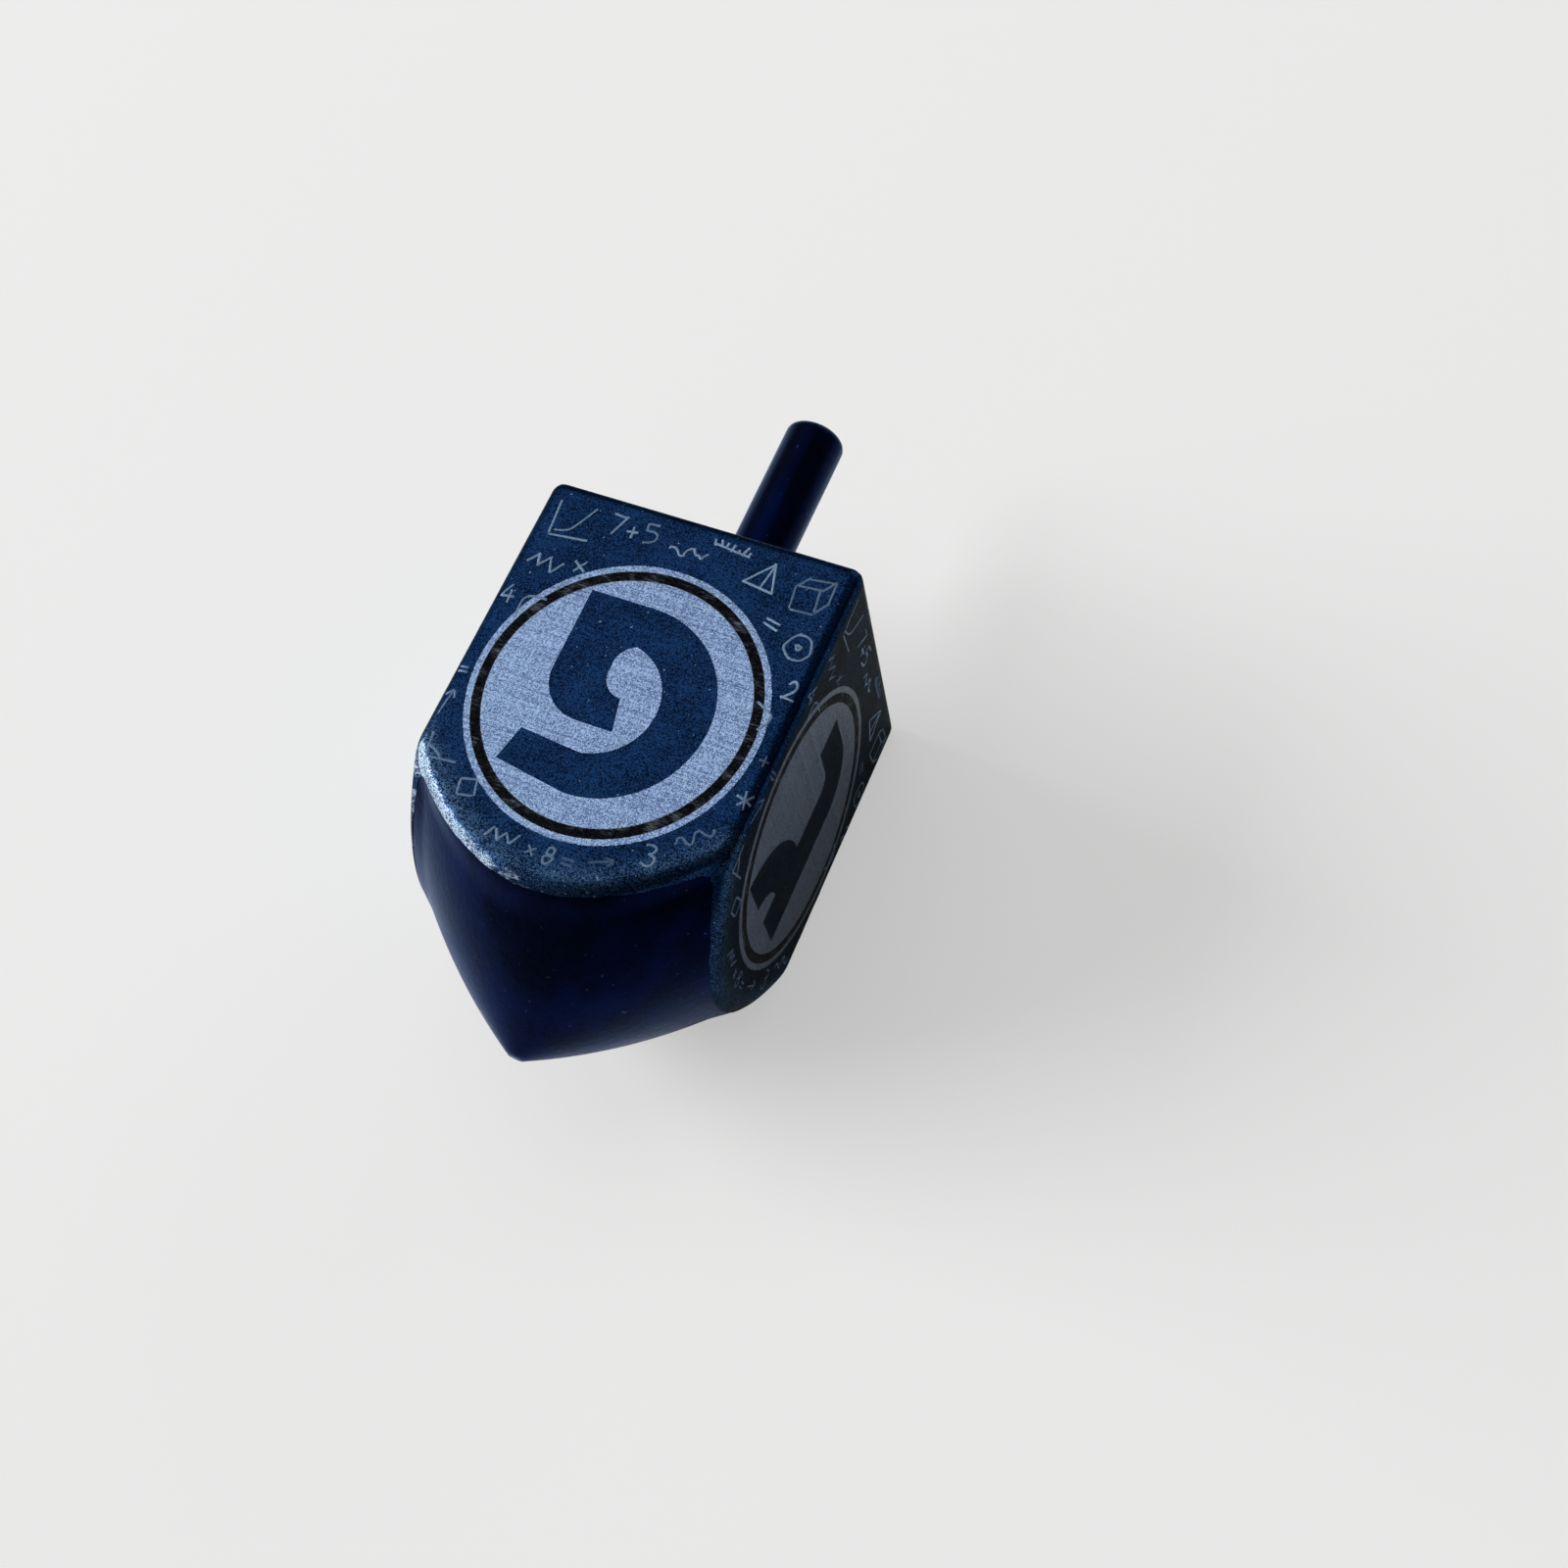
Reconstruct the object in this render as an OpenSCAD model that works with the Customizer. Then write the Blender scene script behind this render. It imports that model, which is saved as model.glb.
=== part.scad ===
// Dreidel: a square wooden block turned to a point, a dowel handle glued into its top,
// and a printed foil pressed onto each of its four flat sides.
// It lies on one side: X across, Y along the spin axis towards the handle, Z up.

/* [Block] */
// Width of the block across two opposite flat sides
block_w = 25.4; // [22:0.2:28]
// Length of the block from its top face to the tip
block_l = 39.8; // [32:0.2:50]
// Length of the point from the lowest part of the flat sides to the tip
point_l = 10; // [7:0.2:13]
// Radius of the arc that the point is turned to
turn_r = 47; // [35:1:80]
// Radius of the small flat on the tip
tip_r = 0.6; // [0.3:0.1:1.5]
// Rounding of the long edges and of the edges of the top face
edge_r = 1; // [0.5:0.1:2]

/* [Handle] */
// Diameter of the handle
handle_d = 5; // [4:0.1:8]
// Length of the handle above the block
handle_l = 17.4; // [10:0.2:25]
// Rounding of the free end of the handle
handle_end_r = 0.8; // [0.2:0.1:1.8]
// Width of the shoulder that seats on the top face of the block
shoulder_w = 0.5; // [0.3:0.1:1]
// Length of the tenon below the shoulder
tenon_l = 10; // [6:0.5:15]
// Bevel round the end of the tenon
tenon_bevel = 0.5; // [0.2:0.1:0.8]
// Room for glue round the tenon
glue_gap = 0.05; // [0.02:0.01:0.15]
// Room for glue below the tenon
glue_well = 0.5; // [0.2:0.1:2]

/* [Printed foils] */
// Thickness of a foil
foil_t = 0.05; // [0.03:0.01:0.2]
// Bare strip along a long edge between two foils
foil_gap = 0.3; // [0.1:0.1:0.8]
// How far a foil wraps over the rounding at the top of its side, in degrees
foil_wrap = 45; // [15:5:75]
// Margin between the roundel and the nearest edges of its side
roundel_margin = 1.5; // [1.3:0.1:4]
// Distance of the roundel's centre below the middle of its side
roundel_drop = 1; // [0:0.1:1.2]
// Width of the silver border of the roundel
border_w = 0.5; // [0.3:0.1:1.2]
// Width of the black ring inside the border
ring_w = 0.8; // [0.3:0.1:1.2]
// Margin between the black ring and the circle that the letters fill
letter_margin = 0.3; // [0.2:0.1:2]

/* [Letters] */
// Height of a letter, on a grid that is then fitted to the disc
letter_h = 16; // [14:0.2:18]
// Width of the hei, the widest letter at its corners, on the same grid
letter_w = 11.6; // [10.6:0.2:13]
// Width of the upright strokes, on the same grid
stroke_w = 4.2; // [3.4:0.1:4.8]
// Width of the level strokes, on the same grid
bar_w = 3.3; // [2.6:0.1:3.8]
// How far the round of an outer corner reaches past the upright stroke, on the same grid
corner_reach = 0.6; // [0.2:0.1:1.5]
// Round of the inner corners, on the same grid
inner_r = 1.4; // [0.5:0.1:1.6]
// Gap between the two strokes of the hei, on the same grid
hei_gap = 1.8; // [1:0.1:3]

/* [Letter details, on the same grid] */
// Distance of the pe's bowl to the left of the middle
pe_bowl_left = 0.5; // [0:0.1:1]
// How far the pe's foot reaches out to the left
pe_foot_out = 0.7; // [0:0.1:1]
// How far the pe's foot rises to the left
pe_foot_rise = 0.9; // [0.5:0.1:1.5]
// How far the pe's curl comes down below the middle
pe_curl_low = 2.4; // [1.5:0.1:2.6]
// How much tighter the pe's curl is than its stem is wide
pe_curl_in = 0.6; // [0.2:0.1:1]
// Width of the short arm at the end of the pe's curl
pe_arm_w = 2.7; // [2:0.1:3]
// Length of that arm past the stem
pe_arm_l = 2.4; // [1.5:0.1:2.6]
// How far the end of that arm leans back to its upper corner
pe_arm_lean = 0.6; // [0:0.1:1]
// Round of the corners between the stem and what it meets
pe_round_r = 1.8; // [0.5:0.1:2]
// How far the gimel's stem stands in from the letter width
gimel_stem_in = 1.1; // [0.5:0.1:1.5]
// How far the gimel's head stands in from the letter width
gimel_head_in = 1.9; // [1:0.1:2.5]
// Inner radius of the arch of the gimel's foot
gimel_arch_r = 2.4; // [1.5:0.1:2.6]
// How far the nun's stem stands in from the letter width
nun_stem_in = 1.3; // [0.5:0.1:1.8]
// How far the nun's head stands in from the letter width
nun_head_in = 3; // [2:0.1:4]
// How far the nun's base stands in from the letter width
nun_base_in = 0.2; // [0:0.1:1]

/* [Hidden] */
$fn = 96;
// The four sides in their order round the block, starting with the side that faces up
letters = ["pe", "gimel", "nun", "hei"];
print_areas = ["foil", "border", "ring", "disc", "letter"];

paint_colour = "#0d1440";
blue_foil_colour = "#1c3f70";
silver_foil_colour = "#8fa3cc";
ink_colour = "#10131c";

// The lying position: the axis is level, and the bounding box is centred above the origin
axis_h = block_w / 2 + foil_t;
top_y = (block_l - handle_l) / 2;

side_l = block_l - point_l;

// The arc of the turned point runs from the rim of the tip to the lowest point of the flat sides
turn_chord = [block_w / 2 - tip_r, point_l];
turn_mid = [block_w / 2 + tip_r, -block_l - side_l] / 2;
turn_rise = sqrt(pow(turn_r, 2) - pow(norm(turn_chord) / 2, 2));
turn_centre = turn_mid + turn_rise / norm(turn_chord) * [-turn_chord.y, turn_chord.x];

tenon_r = handle_d / 2 - shoulder_w;
bore_r = tenon_r + glue_gap;
bore_depth = tenon_l + glue_well;

// How far past the object the cutting shapes reach
over = 1;
cut_l = block_l + over;

foil_top = -edge_r * (1 - sin(foil_wrap));
roundel_r = min(block_w, side_l) / 2 - roundel_margin;
roundel_depth = side_l / 2 + roundel_drop;
ring_r = roundel_r - border_w;
disc_r = ring_r - ring_w;
shoulder_r = stroke_w + corner_reach;
letter_reach = norm([letter_w, letter_h]) / 2;
letter_scale = (disc_r - letter_margin) / letter_reach;

// Turns the upright object, with its axis on Z and the block's top face at 0, into its lying position
module laid() {
  translate([0, top_y, axis_h])
    rotate([-90, 0, 0])
      children();
}

// Outline of one flat side with rounded top corners, grown on every side
module side_outline(grow) {
  inner_w = block_w - 2 * edge_r;
  translate([-block_w / 2 - grow, -cut_l])
    square([block_w + 2 * grow, cut_l - edge_r]);
  translate([-inner_w / 2, -cut_l])
    square([inner_w, cut_l + grow]);
  for (x = [-1, 1] * inner_w / 2)
    translate([x, -edge_r])
      circle(edge_r + grow);
}

// Cross-section of the block with rounded corners, grown on every side
module cross_section(grow) {
  inner_w = block_w - 2 * edge_r;
  outer_w = block_w + 2 * grow;
  square([inner_w, outer_w], center = true);
  square([outer_w, inner_w], center = true);
  for (x = [-1, 1] * inner_w / 2, y = [-1, 1] * inner_w / 2)
    translate([x, y])
      circle(edge_r + grow);
}

// Square block with rounded edges, before its point is turned
module square_block(grow) {
  intersection() {
    translate([0, 0, -cut_l])
      linear_extrude(cut_l + over)
        cross_section(grow);
    intersection_for (turn = [0, 90])
      rotate([90, 0, turn])
        linear_extrude(2 * block_w, center = true)
          side_outline(grow);
  }
}

// Solid of revolution that the point is turned to
module turned_point() {
  rotate_extrude()
    intersection() {
      union() {
        translate(turn_centre)
          circle(turn_r);
        translate([0, turn_centre.y])
          square([turn_centre.x + turn_r, cut_l]);
      }
      translate([0, -block_l])
        square([block_w, cut_l]);
    }
}

// Turned block with the blind hole for the handle
module block() {
  color(paint_colour)
    laid()
      difference() {
        intersection() {
          square_block(0);
          turned_point();
        }
        translate([0, 0, -bore_depth])
          cylinder(r = bore_r, h = bore_depth + over);
      }
}

// Dowel with a rounded free end and a thinner tenon below its shoulder
module handle() {
  grip_r = handle_d / 2;
  color(paint_colour)
    laid() {
      rotate_extrude()
        intersection() {
          square([grip_r, handle_l]);
          union() {
            square([grip_r, handle_l - handle_end_r]);
            square([grip_r - handle_end_r, handle_l]);
            translate([grip_r - handle_end_r, handle_l - handle_end_r])
              circle(handle_end_r);
          }
        }
      translate([0, 0, tenon_bevel - tenon_l])
        cylinder(r = tenon_r, h = tenon_l - tenon_bevel);
      translate([0, 0, -tenon_l])
        cylinder(r1 = tenon_r - tenon_bevel, r2 = tenon_r, h = tenon_bevel);
    }
}

// Turns a shape on the front of the upright block to one of the four sides
module on_side(side) {
  laid()
    rotate([0, 0, 90 * side])
      children();
}

// One printed area of a side's roundel, level with the rest of the foil
module printed(side) {
  on_side(side)
    translate([0, -block_w / 2, -roundel_depth])
      rotate([90, 0, 0])
        linear_extrude(foil_t)
          children();
}

// Blue field of a foil: a skin on the flat side that wraps over its rounded edges, open at the roundel
module foil(side) {
  apex = foil_gap / sqrt(2);
  color(blue_foil_colour)
    on_side(side)
      difference() {
        intersection() {
          square_block(foil_t);
          turned_point();
          translate([0, -apex, -cut_l])
            linear_extrude(cut_l + foil_top)
              polygon([[0, 0], [-block_w, -block_w], [block_w, -block_w]]);
        }
        square_block(0);
        translate([0, 0, -roundel_depth])
          rotate([90, 0, 0])
            cylinder(r = roundel_r, h = block_w);
      }
}

// Silver border of the roundel
module border(side) {
  color(silver_foil_colour)
    printed(side)
      difference() {
        circle(roundel_r);
        circle(ring_r);
      }
}

// Black ring inside the border
module ring(side) {
  color(ink_colour)
    printed(side)
      difference() {
        circle(ring_r);
        circle(disc_r);
      }
}

// Silver disc with the letter left out
module disc(side) {
  color(silver_foil_colour)
    printed(side)
      difference() {
        circle(disc_r);
        letter_outline(side);
      }
}

// Blue letter
module letter(side) {
  color(blue_foil_colour)
    printed(side)
      letter_outline(side);
}

// Letter of a side, at its printed size
module letter_outline(side) {
  scale(letter_scale) {
    if (letters[side] == "pe") pe_outline();
    if (letters[side] == "gimel") gimel_outline();
    if (letters[side] == "nun") nun_outline();
    if (letters[side] == "hei") hei_outline();
  }
}

// Stroke between two opposite corners
module stroke(from, to) {
  translate(from)
    square(to - from);
}

// Quarter of a disc, turned by a number of quarter turns from the upper right
module quarter_disc(r, turns) {
  rotate(90 * turns)
    intersection() {
      circle(r);
      square(r);
    }
}

// Fill that rounds an inner corner, turned by a number of quarter turns from an opening to the upper right
module inner_round(corner, r, turns) {
  translate(corner)
    rotate(90 * turns)
      difference() {
        square(r);
        translate([r, r])
          circle(r);
      }
}

// Rounded corner between a level stroke and an upright one, with its outer corner at the upper right
module elbow(corner) {
  translate(corner - [shoulder_r, shoulder_r])
    difference() {
      quarter_disc(shoulder_r, 0);
      square(shoulder_r * [1, 1] - [stroke_w, bar_w]);
    }
  inner_round(corner - [stroke_w, bar_w], inner_r, 2);
}

// Pe: a round bowl open to the left, with a short stem that curls in from the top
module pe_outline() {
  top = letter_h / 2;
  left = -letter_w / 2;
  stem_right = left + stroke_w;
  counter_r = top - bar_w;
  curl_r = stroke_w - pe_curl_in;
  arm_top = pe_arm_w - pe_curl_low;
  difference() {
    translate([-pe_bowl_left, 0])
      circle(top);
    translate([bar_w - stroke_w - pe_bowl_left, 0])
      circle(counter_r);
    stroke([-top - pe_bowl_left, -top], [-pe_bowl_left, top]);
  }
  stroke([left, counter_r], [-pe_bowl_left, top]);
  polygon([
    [left - pe_foot_out, pe_foot_rise - top],
    [-pe_bowl_left, -top],
    [-pe_bowl_left, -counter_r],
    [left, pe_foot_rise / 2 - counter_r]
  ]);
  stroke([left, curl_r - pe_curl_low], [stem_right, top]);
  translate([left + curl_r, curl_r - pe_curl_low])
    quarter_disc(curl_r, 2);
  stroke([left + curl_r, -pe_curl_low], [stem_right, curl_r - pe_curl_low]);
  polygon([
    [left + curl_r, -pe_curl_low],
    [stem_right + pe_arm_l, -pe_curl_low],
    [stem_right + pe_arm_l - pe_arm_lean, arm_top],
    [left + curl_r, arm_top]
  ]);
  inner_round([stem_right, arm_top], pe_round_r, 0);
  inner_round([stem_right, counter_r], pe_round_r, 3);
}

// Gimel: a head and a stem, with a foot that arches away to the left
module gimel_outline() {
  top = letter_h / 2;
  right = letter_w / 2 - gimel_stem_in;
  left = gimel_head_in - letter_w / 2;
  stroke([left, top - bar_w], [right - shoulder_r, top]);
  elbow([right, top]);
  stroke([right - stroke_w, -top], [right, top - shoulder_r]);
  translate([right - stroke_w, -top])
    difference() {
      quarter_disc(gimel_arch_r + stroke_w, 1);
      circle(gimel_arch_r);
    }
}

// Nun: a short head, a stem and a level base
module nun_outline() {
  top = letter_h / 2;
  right = letter_w / 2 - nun_stem_in;
  stroke([nun_head_in - letter_w / 2, top - bar_w], [right - shoulder_r, top]);
  stroke([nun_base_in - letter_w / 2, -top], [right - shoulder_r, bar_w - top]);
  stroke([right - stroke_w, shoulder_r - top], [right, top - shoulder_r]);
  elbow([right, top]);
  mirror([0, 1, 0])
    elbow([right, top]);
}

// Hei: a roof with a long right leg and a shorter left leg that stands free of it
module hei_outline() {
  top = letter_h / 2;
  right = letter_w / 2;
  stroke([-right, top - bar_w], [right - shoulder_r, top]);
  elbow([right, top]);
  stroke([right - stroke_w, -top], [right, top - shoulder_r]);
  stroke([-right, -top], [bar_w - right, top - bar_w - hei_gap]);
}

block();
handle();
for (side = [0 : 3]) {
  foil(side);
  border(side);
  ring(side);
  disc(side);
  letter(side);
}
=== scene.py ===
import math
import random

import bmesh
import bpy
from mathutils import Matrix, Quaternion, Vector, noise


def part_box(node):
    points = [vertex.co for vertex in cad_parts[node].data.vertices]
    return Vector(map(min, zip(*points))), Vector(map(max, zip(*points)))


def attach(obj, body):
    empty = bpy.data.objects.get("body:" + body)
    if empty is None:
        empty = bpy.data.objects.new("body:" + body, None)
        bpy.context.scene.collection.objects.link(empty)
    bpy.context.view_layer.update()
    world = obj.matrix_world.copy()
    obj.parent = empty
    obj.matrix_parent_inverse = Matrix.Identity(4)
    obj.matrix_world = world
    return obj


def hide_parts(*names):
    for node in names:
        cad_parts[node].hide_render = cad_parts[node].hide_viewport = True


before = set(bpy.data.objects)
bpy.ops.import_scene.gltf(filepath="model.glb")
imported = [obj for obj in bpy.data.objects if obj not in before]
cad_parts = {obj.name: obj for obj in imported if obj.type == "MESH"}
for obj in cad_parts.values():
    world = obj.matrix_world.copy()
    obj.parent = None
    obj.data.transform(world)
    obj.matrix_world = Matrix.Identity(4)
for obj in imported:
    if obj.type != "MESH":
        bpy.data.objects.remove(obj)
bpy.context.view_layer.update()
print("frame loaded,", len(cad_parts), "nodes")

mm = 0.001
sideNames = ["pe", "gimel", "nun", "hei"]  # round the block, the first one faces up

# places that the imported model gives
blockLow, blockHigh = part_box("block")
handleLow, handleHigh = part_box("handle")
borderLow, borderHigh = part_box("pe_border")
halfWidth = (blockHigh.x - blockLow.x) / 2
axisHeight = (blockHigh.z + blockLow.z) / 2
topY = blockHigh.y
tipY = blockLow.y
foilThickness = borderHigh.z - blockHigh.z
faceOut = halfWidth + foilThickness  # from the spin axis to a foil's outer face
roundelRadius = (borderHigh.x - borderLow.x) / 2
roundelY = (borderHigh.y + borderLow.y) / 2
ringRadius = (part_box("pe_ring")[1].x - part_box("pe_ring")[0].x) / 2
discRadius = (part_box("pe_disc")[1].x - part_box("pe_disc")[0].x) / 2


# shape of the wooden body, shared by the block and the foils that lie on it
blockShape = {
    "pointLength": 10 * mm,     # from the lowest part of the flats to the tip
    "turnRadius": 47 * mm,      # arc that the point is turned to
    "tipRadius": 0.6 * mm,      # blunt end of the point
    "edgeRound": 1.0 * mm,      # long edges and top edges
    "rubbed": 0.7 * mm,         # rounding where the flats run into the turned point
    "shoulder": 0.4 * mm,       # how much fuller the turned side is just under the flats
    "shoulderEnd": 2.6 * mm,    # where that has faded out, measured towards the axis
    "stepsRound": 256,
    "rowsUp": 120,
    "rowsTop": 10,
    "crowding": 0.7,            # how much closer the columns stand at the long edges
}


def arcCentre():
    rim = Vector((blockShape["tipRadius"], tipY))
    end = Vector((halfWidth, tipY + blockShape["pointLength"]))
    chord = end - rim
    rise = math.sqrt(blockShape["turnRadius"] ** 2 - chord.length_squared / 4)
    return (rim + end) / 2 + rise / chord.length * Vector((-chord.y, chord.x))


turnCentre = arcCentre()


def turnedRadius(y):
    drop = min(y - turnCentre.y, 0)
    return turnCentre.x + math.sqrt(blockShape["turnRadius"] ** 2 - drop * drop)


def squareRadius(angle, half, corner):
    turn = abs((angle + math.pi / 4) % (math.pi / 2) - math.pi / 4)  # 0 at the middle of a flat
    centre = half - corner
    if half * math.tan(turn) <= centre:
        return half / math.cos(turn)
    across = centre * (math.cos(turn) - math.sin(turn))
    return centre * (math.cos(turn) + math.sin(turn)) + math.sqrt(max(corner * corner - across * across, 0))


def flatRadius(angle, y, lift):
    rise = max(y - (topY - blockShape["edgeRound"]), 0)
    corner = math.sqrt(max((blockShape["edgeRound"] + lift) ** 2 - rise * rise, 0))
    return squareRadius(angle, halfWidth - blockShape["edgeRound"] + corner, corner)


def bodyRadius(angle, y, lift=0):
    flat = flatRadius(angle, y, lift)
    turned = turnedRadius(y) + lift
    fade = min(max((blockShape["shoulderEnd"] - flat + turned) / (0.75 * blockShape["shoulderEnd"]), 0), 1)
    turned += blockShape["shoulder"] * fade * fade * (3 - 2 * fade)
    near = max(blockShape["rubbed"] - abs(flat - turned), 0) / blockShape["rubbed"]
    return min(flat, turned) - near * near * blockShape["rubbed"] / 4


def bodyPoint(angle, y, lift=0):
    radius = bodyRadius(angle, y, lift)
    return Vector((radius * math.sin(angle), y, axisHeight + radius * math.cos(angle)))


# small helpers for meshes
mergeDistance = 1e-7
sharpAngle = math.radians(50)  # steeper edges stay sharp


def arcFrom(shape, vert, centre, angle, steps):
    swept = bmesh.ops.spin(shape, geom=[vert], cent=centre, axis=(0, 0, 1), angle=angle, steps=steps)
    return [item for item in swept["geom_last"] if isinstance(item, bmesh.types.BMVert)][0]


def lineTo(shape, vert, x, y):
    new = bmesh.ops.extrude_vert_indiv(shape, verts=[vert])["verts"][0]
    new.co = (x, y, 0)
    return new


def spinRound(shape, steps):
    bmesh.ops.spin(shape, geom=shape.verts[:] + shape.edges[:], cent=(0, 0, 0), axis=(0, 1, 0),
                   angle=2 * math.pi, steps=steps, use_merge=True)
    closeShell(shape)


def closeShell(shape):
    bmesh.ops.remove_doubles(shape, verts=shape.verts[:], dist=mergeDistance)
    bmesh.ops.recalc_face_normals(shape, faces=shape.faces[:])


def finishPiece(shape, name, material, nodes=()):
    for edge in shape.edges:
        edge.smooth = edge.calc_face_angle(0) < sharpAngle
    mesh = bpy.data.meshes.new(name)
    shape.to_mesh(mesh)
    shape.free()
    mesh.polygons.foreach_set("use_smooth", [True] * len(mesh.polygons))
    mesh.materials.append(material)
    piece = bpy.data.objects.new(name, mesh)
    bpy.context.scene.collection.objects.link(piece)
    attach(piece, "root")
    if nodes:
        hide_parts(*nodes)
    print("made", name, "with", len(mesh.polygons), "faces")


# small helpers for materials
def tone(red, green, blue):
    return tuple(((c / 255 + 0.055) / 1.055) ** 2.4 if c > 10 else c / 255 / 12.92
                 for c in (red, green, blue)) + (1,)


def addNode(tree, kind, values=None, **settings):
    node = tree.nodes.new(kind)
    for name, value in settings.items():
        setattr(node, name, value)
    for name, value in (values or {}).items():
        node.inputs[name].default_value = value
    return node


def joinMath(tree, operation, first, second):
    node = addNode(tree, "ShaderNodeMath", operation=operation)
    for socket, source in zip(node.inputs, (first, second)):
        if isinstance(source, (int, float)):
            socket.default_value = source
        else:
            tree.links.new(source, socket)
    return node.outputs[0]


def ramp(tree, source, low, high, start=0.0, end=1.0):
    values = {"From Min": low, "From Max": high, "To Min": start, "To Max": end}
    node = addNode(tree, "ShaderNodeMapRange", values, interpolation_type="SMOOTHSTEP")
    tree.links.new(source, node.inputs["Value"])
    return node.outputs["Result"]


def mixTone(tree, mask, first, second):
    node = addNode(tree, "ShaderNodeMix", data_type="RGBA")
    tree.links.new(mask, node.inputs[0])
    for socket, source in ((node.inputs[6], first), (node.inputs[7], second)):
        if isinstance(source, tuple):
            socket.default_value = source
        else:
            tree.links.new(source, socket)
    return node.outputs[2]


def objectNoise(tree, stretch, detail, roughness=0.6):
    place = addNode(tree, "ShaderNodeTexCoord")
    scaled = addNode(tree, "ShaderNodeVectorMath", operation="MULTIPLY")
    scaled.inputs[1].default_value = stretch  # waves to a metre along each axis
    tree.links.new(place.outputs["Object"], scaled.inputs[0])
    cloud = addNode(tree, "ShaderNodeTexNoise", {"Scale": 1.0, "Detail": detail, "Roughness": roughness})
    tree.links.new(scaled.outputs[0], cloud.inputs["Vector"])
    return cloud.outputs["Fac"]


def newGroup(name, inputs, outputs):
    tree = bpy.data.node_groups.new(name, "ShaderNodeTree")
    for label, start in inputs.items():
        socket = tree.interface.new_socket(label, in_out="INPUT", socket_type="NodeSocketFloat")
        socket.default_value = start
    for label in outputs:
        tree.interface.new_socket(label, in_out="OUTPUT", socket_type="NodeSocketFloat")
    return tree, tree.nodes.new("NodeGroupInput"), tree.nodes.new("NodeGroupOutput")


def groupNode(tree, group, values):
    return addNode(tree, "ShaderNodeGroup", values, node_tree=group)


def newMaterial(name, values):
    material = bpy.data.materials.new(name)
    material.use_nodes = True
    shader = material.node_tree.nodes["Principled BSDF"]
    for label, value in values.items():
        shader.inputs[label].default_value = value
    return material, material.node_tree, shader


def addBump(tree, shader, height, distance):
    bump = addNode(tree, "ShaderNodeBump", {"Distance": distance, "Strength": 1.0})
    tree.links.new(height, bump.inputs["Height"])
    tree.links.new(bump.outputs["Normal"], shader.inputs["Normal"])


# grain of a brushed and speckled foil, in layers: waves to a metre, detail, the span of the noise
# that counts, and what it adds at the ends of that span
foilGrainLook = {
    "speckle": ((10500, 10500, 10500), 2, 0.34, 0.66, -0.5, 0.5),
    "flake": ((4600, 4600, 4600), 3, 0.36, 0.64, -0.2, 0.2),
    "mottle": ((420, 420, 420), 4, 0.3, 0.7, -0.5, 0.5),
    "hairlines": ((16, 9500, 16), 2, 0.3, 0.7, -0.5, 0.5),       # across a side, fine along the spin axis
    "crossLines": ((8200, 14, 8200), 2, 0.3, 0.7, -0.35, 0.35),  # along the spin axis
    "scratches": ((22, 4200, 22), 1, 0.7, 0.76, 0, -1),
    "dust": ((2900, 2900, 2900), 1, 0.74, 0.78, 0, 1),
}


def grainLayer(tree, name):
    waves, detail, *span = foilGrainLook[name]
    return ramp(tree, objectNoise(tree, waves, detail), *span)


def makeFoilGrain():
    tree, entry, leave = newGroup("foilGrain", {"Speckle": 1.0, "Lines": 0.3, "Mottle": 0.2},
                                  ["Tint", "Height", "Dust"])
    flecks = joinMath(tree, "ADD", grainLayer(tree, "speckle"), grainLayer(tree, "flake"))
    lines = joinMath(tree, "ADD", grainLayer(tree, "hairlines"), grainLayer(tree, "crossLines"))
    lines = joinMath(tree, "ADD", lines, grainLayer(tree, "scratches"))
    grain = joinMath(tree, "MULTIPLY", flecks, entry.outputs["Speckle"])
    streak = joinMath(tree, "MULTIPLY", lines, entry.outputs["Lines"])
    cloud = joinMath(tree, "MULTIPLY", grainLayer(tree, "mottle"), entry.outputs["Mottle"])
    relief = joinMath(tree, "ADD", grain, streak)
    tint = joinMath(tree, "ADD", joinMath(tree, "ADD", relief, cloud), 0.5)
    tree.links.new(ramp(tree, tint, 0, 1), leave.inputs["Tint"])
    tree.links.new(relief, leave.inputs["Height"])
    tree.links.new(grainLayer(tree, "dust"), leave.inputs["Dust"])
    return tree


# places where print or paint is chipped or rubbed away; on the blue foil's folds the same mask also lays a
# painted glint
wearAndGlintPatchLook = {"coarse": (500, 900, 500), "fine": (1500, 9000, 1500), "starts": 0.35, "gone": 0.7}


def makeWearAndGlintPatch():
    tree, entry, leave = newGroup("wearAndGlintPatch", {"Amount": 0.0, "Ragged": 0.5}, ["Mask"])
    coarse = joinMath(tree, "MULTIPLY", objectNoise(tree, wearAndGlintPatchLook["coarse"], 3, 0.6), 0.5)
    fine = joinMath(tree, "MULTIPLY", objectNoise(tree, wearAndGlintPatchLook["fine"], 3, 0.7), 0.5)
    ragged = joinMath(tree, "SUBTRACT", joinMath(tree, "ADD", coarse, fine), 0.5)
    ragged = joinMath(tree, "MULTIPLY", ragged, entry.outputs["Ragged"])
    level = joinMath(tree, "ADD", entry.outputs["Amount"], ragged)
    tree.links.new(ramp(tree, level, wearAndGlintPatchLook["starts"], wearAndGlintPatchLook["gone"]), leave.inputs["Mask"])
    return tree


# uneven outline of a roundel: 1 outside the given radius, on any side
roundelRimLook = {"waves": (4200, 4200, 4200), "swing": 4, "soft": 0.3}


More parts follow.
